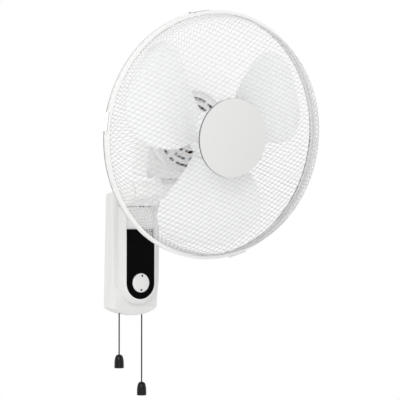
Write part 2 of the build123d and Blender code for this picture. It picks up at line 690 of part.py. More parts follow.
# ---- rear guard -------------------------------------------------------------------------------
RIM_S = 2.3             # station of each guard's outer ring, behind and in front
RIM_START = RING_R - RING_WIRE - WIRE_R - 0.05
REAR_RING = (-75.5, 73.9)
REAR_RING_WIRE = 1.9
REAR_PATH = [(-RIM_S, RIM_START), (-24.0, 196.0), (-58.0, 125.0),
             (REAR_RING[0], REAR_RING[1] + REAR_RING_WIRE + 0.03)]
FRONT_RING = (56.4, 66.4)
FRONT_PATH = [(RIM_S, RIM_START), (31.0, 207.0), (48.5, 150.0),
              (FRONT_RING[0], FRONT_RING[1] + REAR_RING_WIRE + 0.03)]


def ring(name, circles):
    """Wire rings about the axle, each given as (station, radius, wire radius)."""
    with BuildPart() as rings:
        with BuildSketch(MERIDIAN):
            for station, radius, wire in circles:
                with Locations((station, radius)):
                    Circle(wire)
        revolve(axis=AXLE)
    finish(rings.part, name)


def guard_wires(name, path, radii):
    """One bent wire from rim to centre, repeated round the axle as separate solids."""
    start = Vector(*path[0])
    heading = (Vector(*path[1]) - start).normalized()
    with BuildPart() as wire:
        with BuildLine(MERIDIAN) as run:
            FilletPolyline(*path, radius=radii)
        with BuildSketch(Plane(origin=MERIDIAN.from_local_coords(start),
                               z_dir=AXLE_DIR * heading.X + UP_DIR * heading.Y)):
            Circle(WIRE_R)
        sweep(path=run.wires()[0])
    wires = [wire.part.solid().rotate(AXLE, 360.0 / SPOKES * (k + 0.5)) for k in range(SPOKES)]
    finish(Compound(wires), name)


guard_wires("rear_guard_wires", REAR_PATH, [16, 60])
ring("rear_guard_rings", [(-RIM_S, RING_R, RING_WIRE), (*REAR_RING, REAR_RING_WIRE)])

with BuildPart() as guard_plate:
    with BuildSketch(FACE.offset(HOUSING_FACE + 0.05)):
        Circle(REAR_RING[1] - REAR_RING_WIRE - 0.05)
        Circle(66.5, mode=Mode.SUBTRACT)
        Circle(31.0)
        for angle in (45, 135):
            Rectangle(138, 8, rotation=angle)
        Circle(NECK_R + 0.1, mode=Mode.SUBTRACT)
    extrude(amount=1.8)
finish(guard_plate.part, "rear_guard_plate")

with BuildPart() as guard_nut:
    with BuildSketch(FACE.offset(HOUSING_FACE + 1.9)):
        Circle(33)
        with PolarLocations(34.5, 12):
            Circle(3.2, mode=Mode.SUBTRACT)
        Circle(NECK_R + 0.1, mode=Mode.SUBTRACT)
    extrude(amount=9)
finish(guard_nut.part, "guard_lock_nut")

# ---- rim hoop, clips and front guard -----------------------------------------------------------
# channel over both guards' outer rings, with a shadow groove and a narrow rim behind it
CHANNEL_FLOOR = HOOP_R - 1.6
GROOVE_R = HOOP_R - 3.4
turned("rim_hoop", [
    (HOOP_BACK, HOOP_LIP), (HOOP_BACK, HOOP_R - 0.6), (HOOP_BACK + 1.2, HOOP_R - 0.6),
    (HOOP_BACK + 1.2, GROOVE_R), (-HOOP_HALF, GROOVE_R), (-HOOP_HALF, HOOP_R), (HOOP_HALF, HOOP_R),
    (HOOP_HALF, HOOP_LIP), (HOOP_HALF - 1, HOOP_LIP), (HOOP_HALF - 1, CHANNEL_FLOOR),
    (1 - HOOP_HALF, CHANNEL_FLOOR), (1 - HOOP_HALF, HOOP_LIP)])

guard_wires("front_guard_wires", FRONT_PATH, [30, 120])
ring("front_guard_rings", [(RIM_S, RING_R, RING_WIRE), (*FRONT_RING, REAR_RING_WIRE)])

SKIRT_R, SKIRT_H = FRONT_RING[1] - REAR_RING_WIRE - 0.4, 6.0    # snap ring on the disc's back, inside the guard's centre ring

with BuildPart() as centre_disc:
    disc_back = FRONT_RING[0] + REAR_RING_WIRE + 0.1
    with BuildSketch(FACE.offset(disc_back)):
        Circle(DISC_R)
    extrude(amount=2.0)
    with BuildSketch(MERIDIAN):
        with BuildLine():
            Polyline((disc_back + 6.6, 0), (disc_back + 1, 0), (disc_back + 1, DISC_R),
                     (disc_back + 2, DISC_R))
            ThreePointArc((disc_back + 2, DISC_R), (disc_back + 5.4, DISC_R / 2),
                          (disc_back + 6.6, 0))
        make_face()
    revolve(axis=AXLE)
    with BuildSketch(FACE.offset(disc_back - SKIRT_H)):
        Circle(SKIRT_R)
        Circle(SKIRT_R - 1.9, mode=Mode.SUBTRACT)
    extrude(amount=SKIRT_H + 0.5)
    with BuildSketch(FACE.offset(disc_back - 1)):
        Circle(60)
    extrude(amount=2.6, mode=Mode.SUBTRACT)
finish(centre_disc.part, "centre_disc")

CLIP_W = 32.0
CLIP_T = 1.2
PIVOT = (HOOP_HALF - 1.0, HOOP_R + 1.6)   # station and radius of a clip's hinge pin
PIVOT_R = 0.7
BARREL_R = 1.3
EAR_X, EAR_T = CLIP_W / 2 + 1.4, 2.0      # the ears that hold the pin, beside the clip
EAR_FOOT = sqrt(HOOP_R ** 2 - (EAR_X - EAR_T / 2) ** 2) + 0.1


def clip_frame(angle):
    """Axial plane through one clip: local x is the station, local y the radius."""
    across = Vector(-1, 0, 0).rotate(Axis((0, 0, 0), AXLE_DIR), angle - 90)
    return Plane(origin=HOOP_CENTRE, x_dir=AXLE_DIR, z_dir=across)


with BuildPart() as clip_hinges:
    for angle in CLIP_ANGLES.values():
        for side in (-1, 1):
            with BuildSketch(clip_frame(angle).offset(side * EAR_X)):
                with Locations(PIVOT):
                    Circle(BARREL_R)
                with BuildLine():
                    Polyline((PIVOT[0] - BARREL_R, PIVOT[1]), (PIVOT[0] - BARREL_R, EAR_FOOT),
                             (PIVOT[0] + 0.8, EAR_FOOT), (PIVOT[0] + BARREL_R, PIVOT[1]),
                             close=True)
                make_face()
            extrude(amount=EAR_T / 2, both=True)
        with BuildSketch(clip_frame(angle).offset(-CLIP_W / 2 - 2)):
            with Locations(PIVOT):
                Circle(PIVOT_R)
        extrude(amount=CLIP_W + 4)
finish(clip_hinges.part, "clip_hinges")

CLIP_LOW = HOOP_R + 0.5     # radius of a clip's inner face
CATCH = HOOP_BACK - 0.4     # station of its bent end, behind the hoop
for place, angle in CLIP_ANGLES.items():
    with BuildPart() as clip:
        with BuildSketch(clip_frame(angle).offset(-CLIP_W / 2)):
            with Locations(PIVOT):
                Circle(BARREL_R)
            with BuildLine():
                Polyline((PIVOT[0], CLIP_LOW + CLIP_T), (CATCH - 1.0, CLIP_LOW + CLIP_T),
                         (CATCH - 1.6, HOOP_R - 4.0), (CATCH, HOOP_R - 4.0), (CATCH, CLIP_LOW),
                         (PIVOT[0], CLIP_LOW), close=True)
            make_face()
            with Locations(PIVOT):
                Circle(PIVOT_R + 0.06, mode=Mode.SUBTRACT)
        extrude(amount=CLIP_W)
    finish(clip.part, f"clip_{place}")

# ---- impeller ----------------------------------------------------------------------------------
# blade outline in the blade's own frame: x outwards along its middle, y anticlockwise seen from
# the front; the straight edge leads and lies behind, the full round edge trails in front
LEAF = [(34, 34), (46, 46), (61, 66), (84, 83), (110, 95), (136, 98), (160, 88), (178, 69),
        (190, 46), (194, 8), (193, -26), (188, -55), (177, -72), (160, -84), (140, -83),
        (110, -66), (76, -44), (34, -24)]
BLADE_S = -2.0          # station of the blade's middle line
# distance from the axle, pitch angle and half width of each blade section
SECTIONS = [(30, 38, 62), (75, 24, 112), (120, 17, 112), (200, 10.5, 112)]
BLADE_HOLLOW = 4.0      # how far the blade's middle is dished


def blade_frame(x):
    radial = Vector(1, 0, 0).rotate(Axis((0, 0, 0), AXLE_DIR), BLADE_ANGLE)
    tangent = Vector(1, 0, 0).rotate(Axis((0, 0, 0), AXLE_DIR), BLADE_ANGLE + 90)
    return Plane(origin=HOOP_CENTRE + radial * x, x_dir=tangent, z_dir=radial)


with BuildPart() as blade:
    for x, angle, half in SECTIONS:
        rise = half * tan(radians(angle))
        low = BLADE_S - BLADE_T / 2
        high = BLADE_S + BLADE_T / 2
        with BuildSketch(blade_frame(x)):
            with BuildLine():
                ThreePointArc((-half, low - rise), (0, low - BLADE_HOLLOW), (half, low + rise))
                Line((half, low + rise), (half, high + rise))
                ThreePointArc((half, high + rise), (0, high - BLADE_HOLLOW), (-half, high - rise))
                Line((-half, high - rise), (-half, low - rise))
            make_face()
    loft()
    radial = Vector(1, 0, 0).rotate(Axis((0, 0, 0), AXLE_DIR), BLADE_ANGLE)
    with BuildSketch(Plane(origin=HOOP_CENTRE + AXLE_DIR * -90, x_dir=radial, z_dir=AXLE_DIR)):
        with BuildLine():
            Spline(*LEAF)
            Line(LEAF[-1], LEAF[0])
        make_face()
    extrude(amount=180, mode=Mode.INTERSECT)

with BuildPart() as impeller:
    with BuildSketch(MERIDIAN):
        with BuildLine():
            Polyline((-16, HUB_R), (14, HUB_R))
            ThreePointArc((14, HUB_R), (19.6, HUB_R - 3.2), (22, HUB_R - 9))
            Polyline((22, HUB_R - 9), (24, 0), (-34, 0), (-34, 11), (-10, 11), (-10, 20), (19, 20),
                     (19, HUB_R - 9), (12, HUB_R - 3), (-16, HUB_R - 3), (-16, HUB_R))
        make_face()
    revolve(axis=AXLE)
    for turn in range(3):
        add(blade.part.rotate(AXLE, 120 * turn))
    with BuildSketch(FACE.offset(-40)):
        Circle(SHAFT_R + 0.03)
    extrude(amount=80, mode=Mode.SUBTRACT)
finish(impeller.part, "impeller")

turned("spinner_nut", [(25.0, SHAFT_R + 0.03), (25.0, 16), (32, 15), (36, 10), (37, 0), (32, 0),
                       (32, SHAFT_R + 0.03)])
turned("shaft_collar", tube_outline(-44, -36, SHAFT_R + 0.03, 8.0))

with BuildPart() as housing_screws:
    with BuildSketch(FACE.offset(HOUSING_SPLIT - 8)):
        with PolarLocations(56.5, 3, start_angle=30):
            Circle(1.4)
    extrude(amount=12)
finish(housing_screws.part, "housing_screws")
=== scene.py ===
import math

import bpy
import bmesh
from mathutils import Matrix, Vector


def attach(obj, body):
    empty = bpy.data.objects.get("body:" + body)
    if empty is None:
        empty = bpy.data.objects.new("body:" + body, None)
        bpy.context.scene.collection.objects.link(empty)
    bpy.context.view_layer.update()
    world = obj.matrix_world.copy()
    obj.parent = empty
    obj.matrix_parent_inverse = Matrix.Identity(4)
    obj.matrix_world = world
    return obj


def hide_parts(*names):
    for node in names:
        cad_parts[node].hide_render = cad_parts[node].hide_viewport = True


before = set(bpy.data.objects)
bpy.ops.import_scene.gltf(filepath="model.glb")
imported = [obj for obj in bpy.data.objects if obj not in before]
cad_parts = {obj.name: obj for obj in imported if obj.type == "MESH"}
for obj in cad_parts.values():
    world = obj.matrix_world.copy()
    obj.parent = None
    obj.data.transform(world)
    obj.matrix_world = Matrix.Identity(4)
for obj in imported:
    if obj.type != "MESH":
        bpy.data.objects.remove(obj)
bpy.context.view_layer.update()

MM = 0.001                  # the scene is in metres

# ---- sizes of the fan, in millimetres and degrees ------------------------------------------
# A station is a distance along the fan's axle, counted forwards from the middle of the hoop.
HOOP_CENTRE = Vector((0.0, -290.4, 205.1)) * MM
TILT_REST = 7.5             # the axle's dip below level
GROOVE = (-7.85, -5.35)     # stations between which the hoop's groove lies, painted dark as shade
GROOVE_FADE = (0.0, 60.0)   # heights over the hoop's centre in which the groove's painted shade turns pale
RIM_STATION = 2.3           # the guards' outer rings stand this far off the hoop's middle

# front net
WALL_RADIUS = 205.6         # where the net's face bends into its side wall
SHOULDER = 35.0             # station of that bend
WALL_FLARE = 0.17           # the side wall widens by this much of its length towards the rim
BEND_EASE = 12.0            # how softly the face runs into the side wall
DOME_SLOPE = 0.0413         # the face falls by this much of the way out from the centre ring
DOME_CURVE = 0.835          # and by this much more of it for each metre of that way
RING_STATION = 56.4         # station of the ring round the centre disc
RING_RADIUS = 66.4
RING_BAND = 3.0             # the painted shadow of the disc's gap reaches this far before and behind the ring
NET_REACH = 247.0           # half length of a wire while it is still straight
NET_WIRES = 65              # wires side by side in one layer
NET_STEPS = 84              # straight steps that a wire is bent in
NET_WIRE_RADIUS = 0.5
NET_FADE = (-110.0, 120.0)  # heights over the hoop's centre between which the net's painted shade fades out
# name, direction of the wires, their pitch, and how far they lie before the first layer
NET_LAYERS = (("front_net_rising", 41.0, 7.5, 0.0), ("front_net_falling", 163.0, 7.7, 0.9))

# rear guard; a spoke's path is the station and radius of each corner
REAR_PATH = [(-RIM_STATION, 211.65), (-24.0, 196.0), (-58.0, 125.0), (-75.5, 75.8)]
REAR_WIRES = 180
REAR_WIRE_RADIUS = 0.55
REAR_BEND = 40.0            # radius of a spoke's bends

# cords
CORD_DIAMETER = 2.5
CORD_DEPTH = -13.0          # they hang this far before the wall
SPEED_CORD = (18.3, [-78.0, -134.0, -190.0, -246.4])    # place across the box, and heights
SWING_CORD = (-31.0, [-78.0, -117.0, -155.0, -193.1])
CORD_STRAND = 3.157         # from one strand of the braid to the next
CORD_STRAND_LEAN = 40.1     # of the strands from level

# dial, and the raised surround, which ends in a half round about the dial's middle
DIAL_HEIGHT = -58.5         # of the dial's middle
DOT_RADIUS = 2.1
DOT_SPOTS = ((1.5, 13.2), (-0.5, -13.2))    # from the dial's middle, sideways and up
SURROUND_FOOT = 41.0        # half width of the surround where it rises from the box
SURROUND_FACE = 34.5        # half width of its face

# moulding draft of the wall box: each pair says where a change starts and where it is whole
BOX_SIDE = 49.0                         # half width of the box
FLANK = (SURROUND_FOOT, BOX_SIDE)       # sideways
FOOT = (-93.0, -101.0)                  # heights in which the upright sides end
NEAR_WALL = (26.0, 0.0)                 # depths between the front's spread and the wall's
FRONT_SPREAD, FRONT_LOSS = 5.0, 5.8     # spread of the front, and what it loses lower down
FRONT_HEIGHTS = (-20.0, -95.0)
WALL_SPREAD, WALL_GAIN = 3.4, 4.5       # spread at the wall, and what it gains lower down
WALL_HEIGHTS = (105.0, -76.0)
VALLEY = 8.5                            # depth of the valley beside the surround
VALLEY_SIDES = (25.0, SURROUND_FOOT)
VALLEY_DEPTHS = (37.0, 33.0)
VALLEY_HEIGHTS = (DIAL_HEIGHT - 34.0, DIAL_HEIGHT)
LOW_LEAN, HIGH_LEAN = 7.0, -2.0         # how far the flank lies back, low down and above
LEAN_DEPTHS = (9.0, 26.0)
LIP_DEPTH, LIP_LEAN = 38.0, 1.6         # past this depth the face's rim lies back this far
LIP_HALF = 0.5                          # half width of that rim
LOW_START = -86.0                       # height at which the sides start to hang deeper
LOW_LAG, LOW_SPAN = 13.0, 12.0          # how much lower the middle starts; height it takes
LOW_DROP, LOW_SIDE_DROP = 3.2, 0.6      # how much deeper, and what the sides add at the wall


# ---- materials -----------------------------------------------------------------------------
def linear(hex_code):
    """Linear colour of an sRGB hex value."""
    channels = [int(hex_code[i:i + 2], 16) / 255 for i in (0, 2, 4)]
    return [c / 12.92 if c <= 0.04045 else ((c + 0.055) / 1.055) ** 2.4 for c in channels] + [1.0]


def add_node(tree, kind, inputs=None, **settings):
    """Adds a node, makes its settings, and links or sets its inputs."""
    node = tree.nodes.new(kind)
    for name, value in settings.items():
        setattr(node, name, value)
    for key, value in (inputs or {}).items():
        if isinstance(value, bpy.types.NodeSocket):
            tree.links.new(value, node.inputs[key])
        else:
            node.inputs[key].default_value = value
    return node


def moulded(name, pale, deep, rough, grain_mm, grain_depth, mottle_mm=40.0,
            metallic=0.0, specular=0.5, swing=0.06):
    """A surface with slow mottling in its colour and polish and a fine grain in its relief."""
    material = bpy.data.materials.new(name)
    material.use_nodes = True
    tree = material.node_tree
    tree.nodes.clear()
    place = add_node(tree, "ShaderNodeTexCoord").outputs["Object"]
    mottle = add_node(tree, "ShaderNodeTexNoise", {"Vector": place, "Scale": 1000 / mottle_mm,
                      "Detail": 3.0, "Roughness": 0.55})
    colour = add_node(tree, "ShaderNodeMix", {0: mottle.outputs["Fac"], 6: linear(deep),
                      7: linear(pale)}, data_type="RGBA")
    polish = add_node(tree, "ShaderNodeMapRange", {"Value": mottle.outputs["Fac"],
                      "To Min": rough - swing, "To Max": rough + swing})
    grain = add_node(tree, "ShaderNodeTexNoise", {"Vector": place, "Scale": 1000 / grain_mm,
                     "Detail": 2.0, "Roughness": 0.5})
    relief = add_node(tree, "ShaderNodeBump", {"Strength": 0.35, "Distance": grain_depth * MM,
                      "Height": grain.outputs["Fac"]})
    shader = add_node(tree, "ShaderNodeBsdfPrincipled", {"Base Color": colour.outputs[2],
                      "Roughness": polish.outputs["Result"], "Normal": relief.outputs["Normal"],
                      "Metallic": metallic, "IOR": 1.5, "Specular IOR Level": specular})
    add_node(tree, "ShaderNodeOutputMaterial", {"Surface": shader.outputs["BSDF"]})
    return material


# Moulded white ABS of the wall box: even white with a barely seen eggshell grain.
white_abs = moulded("moulded_white_abs", "DDDDDC", "D9D9D8", 0.34, 0.9, 0.03)
# The same white ABS painted lighter on housing, hinge and clips, as painted light, so that they
# stay pale in the guard's shade.
housing_abs = moulded("white_abs_painted_lighter", "F6F6F5", "F3F3F2", 0.38, 0.9, 0.02)
# Moulded white polypropylene of the blades: smoother and a touch cooler than the box.
blade_polypropylene = moulded("moulded_white_polypropylene", "FCFDFD", "FAFBFB",
                              0.30, 2.5, 0.02, mottle_mm=60)
# Satin moulded white ABS of the centre disc: an even, slightly grey face.
disc_abs = moulded("satin_white_abs", "D6D6D5", "D4D4D3", 0.42, 0.8, 0.02)
# Powder coated steel wire: soft white paint with orange peel.
powder_coat = moulded("powder_coated_wire", "F6F6F6", "F2F2F2", 0.40, 1.6, 0.05)
# Gloss black ABS of the panel: an even, very deep black.
black_abs = moulded("gloss_black_abs", "020202", "010101", 0.30, 3.0, 0.01, mottle_mm=50,
                    specular=0.04, swing=0.03)
# Gloss black ABS of the cords' bells: small soft highlights on their round sides.
bell_abs = moulded("gloss_black_bell_abs", "060607", "030303", 0.20, 2.0, 0.02, mottle_mm=20,
                   specular=0.25, swing=0.04)
# Zinc plated steel: cool grey metal, a little cloudy.
zinc_steel = moulded("zinc_plated_steel", "C9CBCC", "B4B7B9", 0.34, 0.6, 0.02, mottle_mm=8,
                     metallic=1.0, swing=0.08)
# Ground steel of the shaft, post and bearings: brighter and smoother, with a very fine grain.
ground_steel = moulded("ground_steel", "D2D3D4", "BFC1C3", 0.22, 0.3, 0.01, mottle_mm=6,
                       metallic=1.0)
# Stacked electrical steel sheet of stator and rotor: dark and dull, rough as cut edges are.
core_steel = moulded("stacked_electrical_steel", "7A7D80", "5E6164", 0.5, 0.5, 0.08,
                     mottle_mm=5, metallic=1.0)
# Enamelled copper windings: warm brown metal, uneven from wire to wire.
copper = moulded("enamelled_copper_wire", "B8683A", "8F4A26", 0.35, 0.6, 0.2, mottle_mm=3,
                 metallic=1.0)
# Dark glass filled nylon of the inner pieces: dull, with a rough grain.
dark_nylon = moulded("dark_moulded_nylon", "35363A", "2B2C2F", 0.5, 0.7, 0.04)


def opened(material):
    """A material's node tree, its shader, and the output that feeds the base colour."""
    tree = material.node_tree
    shader = next(node for node in tree.nodes if node.type == "BSDF_PRINCIPLED")
    return tree, shader, shader.inputs["Base Color"].links[0].from_socket


def dial_abs():
    """White moulded ABS of the dial: softly glossy, with two dark dots on its face."""
    material = moulded("domed_white_dial_abs", "DCDCDB", "D9D9D8", 0.18, 1.0, 0.02)
    tree, shader, base = opened(material)
    place = add_node(tree, "ShaderNodeTexCoord").outputs["Object"]
    flat = add_node(tree, "ShaderNodeVectorMath", {0: place, 1: (1, 0, 1)}, operation="MULTIPLY")
    dots = None
    for x, rise in DOT_SPOTS:
        middle = (x * MM, 0, (DIAL_HEIGHT + rise) * MM)
        away = add_node(tree, "ShaderNodeVectorMath", {0: flat.outputs[0], 1: middle},
                        operation="DISTANCE")
        inside = add_node(tree, "ShaderNodeMath", {0: away.outputs["Value"], 1: DOT_RADIUS * MM},
                          operation="LESS_THAN").outputs[0]
        if dots is None:
            dots = inside
        else:
            dots = add_node(tree, "ShaderNodeMath", {0: dots, 1: inside},
                            operation="MAXIMUM").outputs[0]
    ink = add_node(tree, "ShaderNodeMix", {0: dots, 6: base, 7: linear("101011")},
                   data_type="RGBA")
    tree.links.new(ink.outputs[2], shader.inputs["Base Color"])
    return material


def braided_cord():
    """Braided polyester pull cord: dark grey strands crossing each other, dull."""
    material = moulded("braided_polyester_cord", "19191B", "101011", 0.8, 0.5, 0.1,
                       mottle_mm=3, specular=0.2)
    tree, shader, _ = opened(material)
    place = add_node(tree, "ShaderNodeTexCoord").outputs["Object"]
    strands = None
    # drawn coarser than real so that the strands show; at scale 1 a wave repeats each pi / 10
    fineness = math.pi / 10 / (CORD_STRAND * MM)
    for lean in (CORD_STRAND_LEAN, -CORD_STRAND_LEAN):
        turned = add_node(tree, "ShaderNodeMapping", {"Vector": place,
                          "Rotation": (0, math.radians(lean), 0)})
        wave = add_node(tree, "ShaderNodeTexWave", {"Vector": turned.outputs["Vector"],
                        "Scale": fineness}, bands_direction="Z")
        if strands is None:
            strands = wave.outputs["Fac"]
        else:
            strands = add_node(tree, "ShaderNodeMath", {0: strands, 1: wave.outputs["Fac"]},
                               operation="MAXIMUM").outputs[0]
    relief = add_node(tree, "ShaderNodeBump", {"Strength": 0.8, "Distance": 0.2 * MM,
                      "Height": strands})
    tree.links.new(relief.outputs["Normal"], shader.inputs["Normal"])
    return material


def station_band(tree, low, high):
    """1 between two stations (mm) along the fan's axle, 0 elsewhere, as a node output."""
    dip = math.radians(TILT_REST)
    axle = (0, -math.cos(dip), -math.sin(dip))
    place = add_node(tree, "ShaderNodeTexCoord").outputs["Object"]
    along = add_node(tree, "ShaderNodeVectorMath", {0: place, 1: axle},
                     operation="DOT_PRODUCT").outputs["Value"]
    hoop = HOOP_CENTRE.dot(Vector(axle))
    return add_node(tree, "ShaderNodeMath", {0: along, 1: hoop + (low + high) / 2 * MM,
                    2: (high - low) / 2 * MM}, operation="COMPARE").outputs[0]


def height_fade(tree, low, high):
    """0 to 1 between two heights (mm) over the hoop's centre, as a node output."""
    place = add_node(tree, "ShaderNodeTexCoord").outputs["Object"]
    height = add_node(tree, "ShaderNodeSeparateXYZ", {0: place}).outputs[2]
    return add_node(tree, "ShaderNodeMapRange", {"Value": height,
                    "From Min": HOOP_CENTRE.z + low * MM,
                    "From Max": HOOP_CENTRE.z + high * MM}).outputs["Result"]


def grooved_abs():
    """White moulded hoop; its groove behind the band carries painted shade, dark in the lower
    half and pale higher up.
    """
    material = moulded("white_hoop_abs_with_painted_groove_shade", "EDEDEC", "E9E9E8", 0.34, 0.9, 0.03)
    tree, shader, base = opened(material)
    # painted shade in the groove: dark below the hoop's centre, pale from 60 mm above it
    painted_groove_shade = add_node(tree, "ShaderNodeMix", {0: height_fade(tree, *GROOVE_FADE),
                     6: linear("2C2C2C"), 7: linear("C4C4C4")}, data_type="RGBA").outputs[2]
    shade = add_node(tree, "ShaderNodeMix", {0: station_band(tree, *GROOVE), 6: base, 7: painted_groove_shade},
                     data_type="RGBA")
    tree.links.new(shade.outputs[2], shader.inputs["Base Color"])
    return material


def ring_coat():
    """Guard ring paint: white at the rim, painted black as shadow where the ring shows in the
    disc's gap.
    """
    material = moulded("powder_coated_ring_with_painted_shadow", "ECECEC", "E8E8E8", 0.40, 1.6, 0.05)
    tree, shader, base = opened(material)
    # painted shadow: the ring is black where it lies in the gap behind the disc
    inner = station_band(tree, RING_STATION - RING_BAND, RING_STATION + RING_BAND)
    paint = add_node(tree, "ShaderNodeMix", {0: inner, 6: base, 7: linear("151515")},
                     data_type="RGBA")
    tree.links.new(paint.outputs[2], shader.inputs["Base Color"])
    return material


def net_coat_with_painted_shade():
    """The front net's greyer coat, with painted shade darkening it lower down: fine dark lines
    before white blades.
    """
    material = moulded("grey_powder_coated_wire_with_painted_shade", "DEDEDE", "D8D8D8", 0.45, 1.6, 0.05)
    tree, shader, base = opened(material)
    # painted shade: the wires darken towards the bottom
    paint = add_node(tree, "ShaderNodeMix", {0: height_fade(tree, *NET_FADE),
                     6: linear("C8C8C8"), 7: base}, data_type="RGBA")
    tree.links.new(paint.outputs[2], shader.inputs["Base Color"])
    return material


white_dial = dial_abs()
net_coat = net_coat_with_painted_shade()
hoop_abs = grooved_abs()
front_ring_coat = ring_coat()
cord_braid = braided_cord()

# each finish, and the frame's nodes that carry it
FINISHES = {
    housing_abs: ["neck_bracket", "tilt_knuckle", "motor_housing_rear", "motor_housing_front",
                  "guard_lock_nut", "clip_left", "clip_top", "clip_right", "clip_bottom",
                  "clip_hinges"],
    white_abs: ["base_back_shell", "base_front_shell", "cord_bushes", "cable_inlet"],
    blade_polypropylene: ["impeller", "spinner_nut"],
    disc_abs: ["centre_disc"],
    hoop_abs: ["rim_hoop"],
    powder_coat: ["rear_guard_wires", "rear_guard_rings", "rear_guard_plate",
                  "front_guard_wires"],
    front_ring_coat: ["front_guard_rings"],
    black_abs: ["control_panel"],
    bell_abs: ["speed_bell", "swing_bell"],
    white_dial: ["speed_dial"],
    cord_braid: ["speed_cord", "swing_cord"],
    zinc_steel: ["wall_plate", "front_end_shield", "rear_end_shield", "shell_screws",
                 "plate_screws", "tilt_bolt", "tilt_nut", "motor_bolts", "housing_screws",
                 "pan_retaining_ring"],
    ground_steel: ["motor_shaft", "pan_post", "front_bearing", "rear_bearing", "shaft_collar"],
    core_steel: ["stator", "rotor"],
    copper: ["stator_windings"],
    dark_nylon: ["speed_switch", "swing_switch", "terminal_block", "motor_capacitor",
                 "pan_bush", "dial_spindle", "speed_pull_stem", "swing_pull_stem",
                 "swing_motor"],
}
finish_of = {}
for finish, names in FINISHES.items():
    for name in names:
        finish_of[name] = finish
        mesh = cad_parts[name].data
        mesh.materials.clear()
        mesh.materials.append(finish)


# ---- camera --------------------------------------------------------------------------------
# fitted to the hoop's ellipse, the box's upright edges, the panel and the cords, in metres
camera_data = bpy.data.cameras.new("camera")
camera_data.lens = 144
camera_data.sensor_width = 36
camera = bpy.data.objects.new("camera", camera_data)
camera.location = (-1.54474, -2.62303, 0.0242)
sight = Vector((0.54448, 0.83842, 0.02426))
camera.rotation_euler = sight.to_track_quat("-Z", "Y").to_euler()
bpy.context.collection.objects.link(camera)
bpy.context.scene.camera = camera


# ---- cords ---------------------------------------------------------------------------------
def pull_cord(name, body, x, heights, bell):
    """Cord hanging straight from its stem in the box down to its bell."""
    curve = bpy.data.curves.new(name, "CURVE")
    curve.dimensions = "3D"
    curve.bevel_depth = CORD_DIAMETER / 2 * MM
    curve.bevel_resolution = 3
    curve.resolution_u = 8
    curve.use_fill_caps = True
    spline = curve.splines.new("NURBS")
    spline.points.add(len(heights) - 1)
    for point, height in zip(spline.points, heights):
        point.co = (x * MM, CORD_DEPTH * MM, height * MM, 1.0)
    spline.order_u = 3
    spline.use_endpoint_u = True
    curve.materials.append(cord_braid)
    cord = bpy.data.objects.new(name, curve)
    bpy.context.collection.objects.link(cord)
    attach(cord, body)
    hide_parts(name.replace("_line", ""))


pull_cord("speed_cord_line", "speed_pull", *SPEED_CORD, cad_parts["speed_bell"])
pull_cord("swing_cord_line", "swing_pull", *SWING_CORD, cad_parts["swing_bell"])


# ---- pieces made from the frame's own shapes -----------------------------------------------
def share(value, span):
    """How much of the way between two places has been gone, from 0 to 1."""
    start, end = span
    return max(0.0, min(1.0, (value - start) / (end - start)))


def drafted(spot):
    """Where a corner of the plain wall box lies once the box has its moulding draft.

    The sides spread towards the wall, more so lower down. A valley runs beside the surround
    as far as the dial and fades out below it, where the flanks lean back instead. The lower
    edge hangs a little deeper, and the rim of the surround's face lies back a little.
    """
    x, depth, z = spot.x / MM, -spot.y / MM, spot.z / MM
    flank = share(abs(x), FLANK)
    foot = share(z, FOOT)
    side = flank * (1.0 - foot) + foot * abs(x) / BOX_SIDE
    near_wall = share(depth, NEAR_WALL)
    at_front = FRONT_SPREAD - FRONT_LOSS * share(z, FRONT_HEIGHTS)
    at_wall = WALL_SPREAD + WALL_GAIN * share(z, WALL_HEIGHTS)
    spread = side * (at_front * (1.0 - near_wall) + at_wall * near_wall)
    above = share(z, VALLEY_HEIGHTS)
    valley = VALLEY * above * share(abs(x), VALLEY_SIDES) * share(depth, VALLEY_DEPTHS)
    edge = LOW_LEAN + (HIGH_LEAN - LOW_LEAN) * above
    lean = (valley + edge * flank) * share(depth, LEAN_DEPTHS)
    away = math.hypot(x, min(0.0, z - DIAL_HEIGHT))
    if depth > LIP_DEPTH and abs(away - SURROUND_FACE) < LIP_HALF:
        lean = LIP_LEAN
    low_start = LOW_START - LOW_LAG * (1.0 - side)
    low = share(z, (low_start, low_start - LOW_SPAN))
    drop = low * (LOW_DROP + LOW_SIDE_DROP * side * near_wall)
    return Vector((x + math.copysign(spread, x), -(depth - lean), z - drop)) * MM


def eased(node, body, smooth_deg=32.0, shape=None):
    """Clean copy of a solid's surface: doubles merged, smooth shaded up to its hard edges."""
    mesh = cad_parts[node].data.copy()
    cleaner = bmesh.new()
    cleaner.from_mesh(mesh)
    bmesh.ops.remove_doubles(cleaner, verts=cleaner.verts, dist=0.002 * MM)
    bmesh.ops.dissolve_degenerate(cleaner, dist=0.001 * MM, edges=cleaner.edges)
    if shape:
        for corner in cleaner.verts:
            corner.co = shape(corner.co)
    cleaner.to_mesh(mesh)
    cleaner.free()
    mesh.shade_smooth()
    mesh.set_sharp_from_angle(angle=math.radians(smooth_deg))
    piece = bpy.data.objects.new(f"{node}_eased", mesh)
    bpy.context.collection.objects.link(piece)
    # large faces set the normals at their corners, so that fillets don't shade in triangles
    evener = piece.modifiers.new("even_shading", "WEIGHTED_NORMAL")
    evener.keep_sharp = True
    evener.weight = 90
    bpy.context.view_layer.update()
    even_piece = piece.evaluated_get(bpy.context.evaluated_depsgraph_get())
    mesh = bpy.data.meshes.new_from_object(even_piece)
    mesh.name = f"{node}_even"
    piece.modifiers.clear()
    piece.data = mesh
    mesh.materials.clear()
    mesh.materials.append(finish_of[node])
    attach(piece, body)
    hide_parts(node)


for node, slot in (("base_front_shell", "white_plastic"), ("base_back_shell", "white_plastic"),
                   ("cord_bushes", "white_plastic"), ("cable_inlet", "inner_plastic")):
    eased(node, "base", smooth_deg=20.0, shape=drafted)

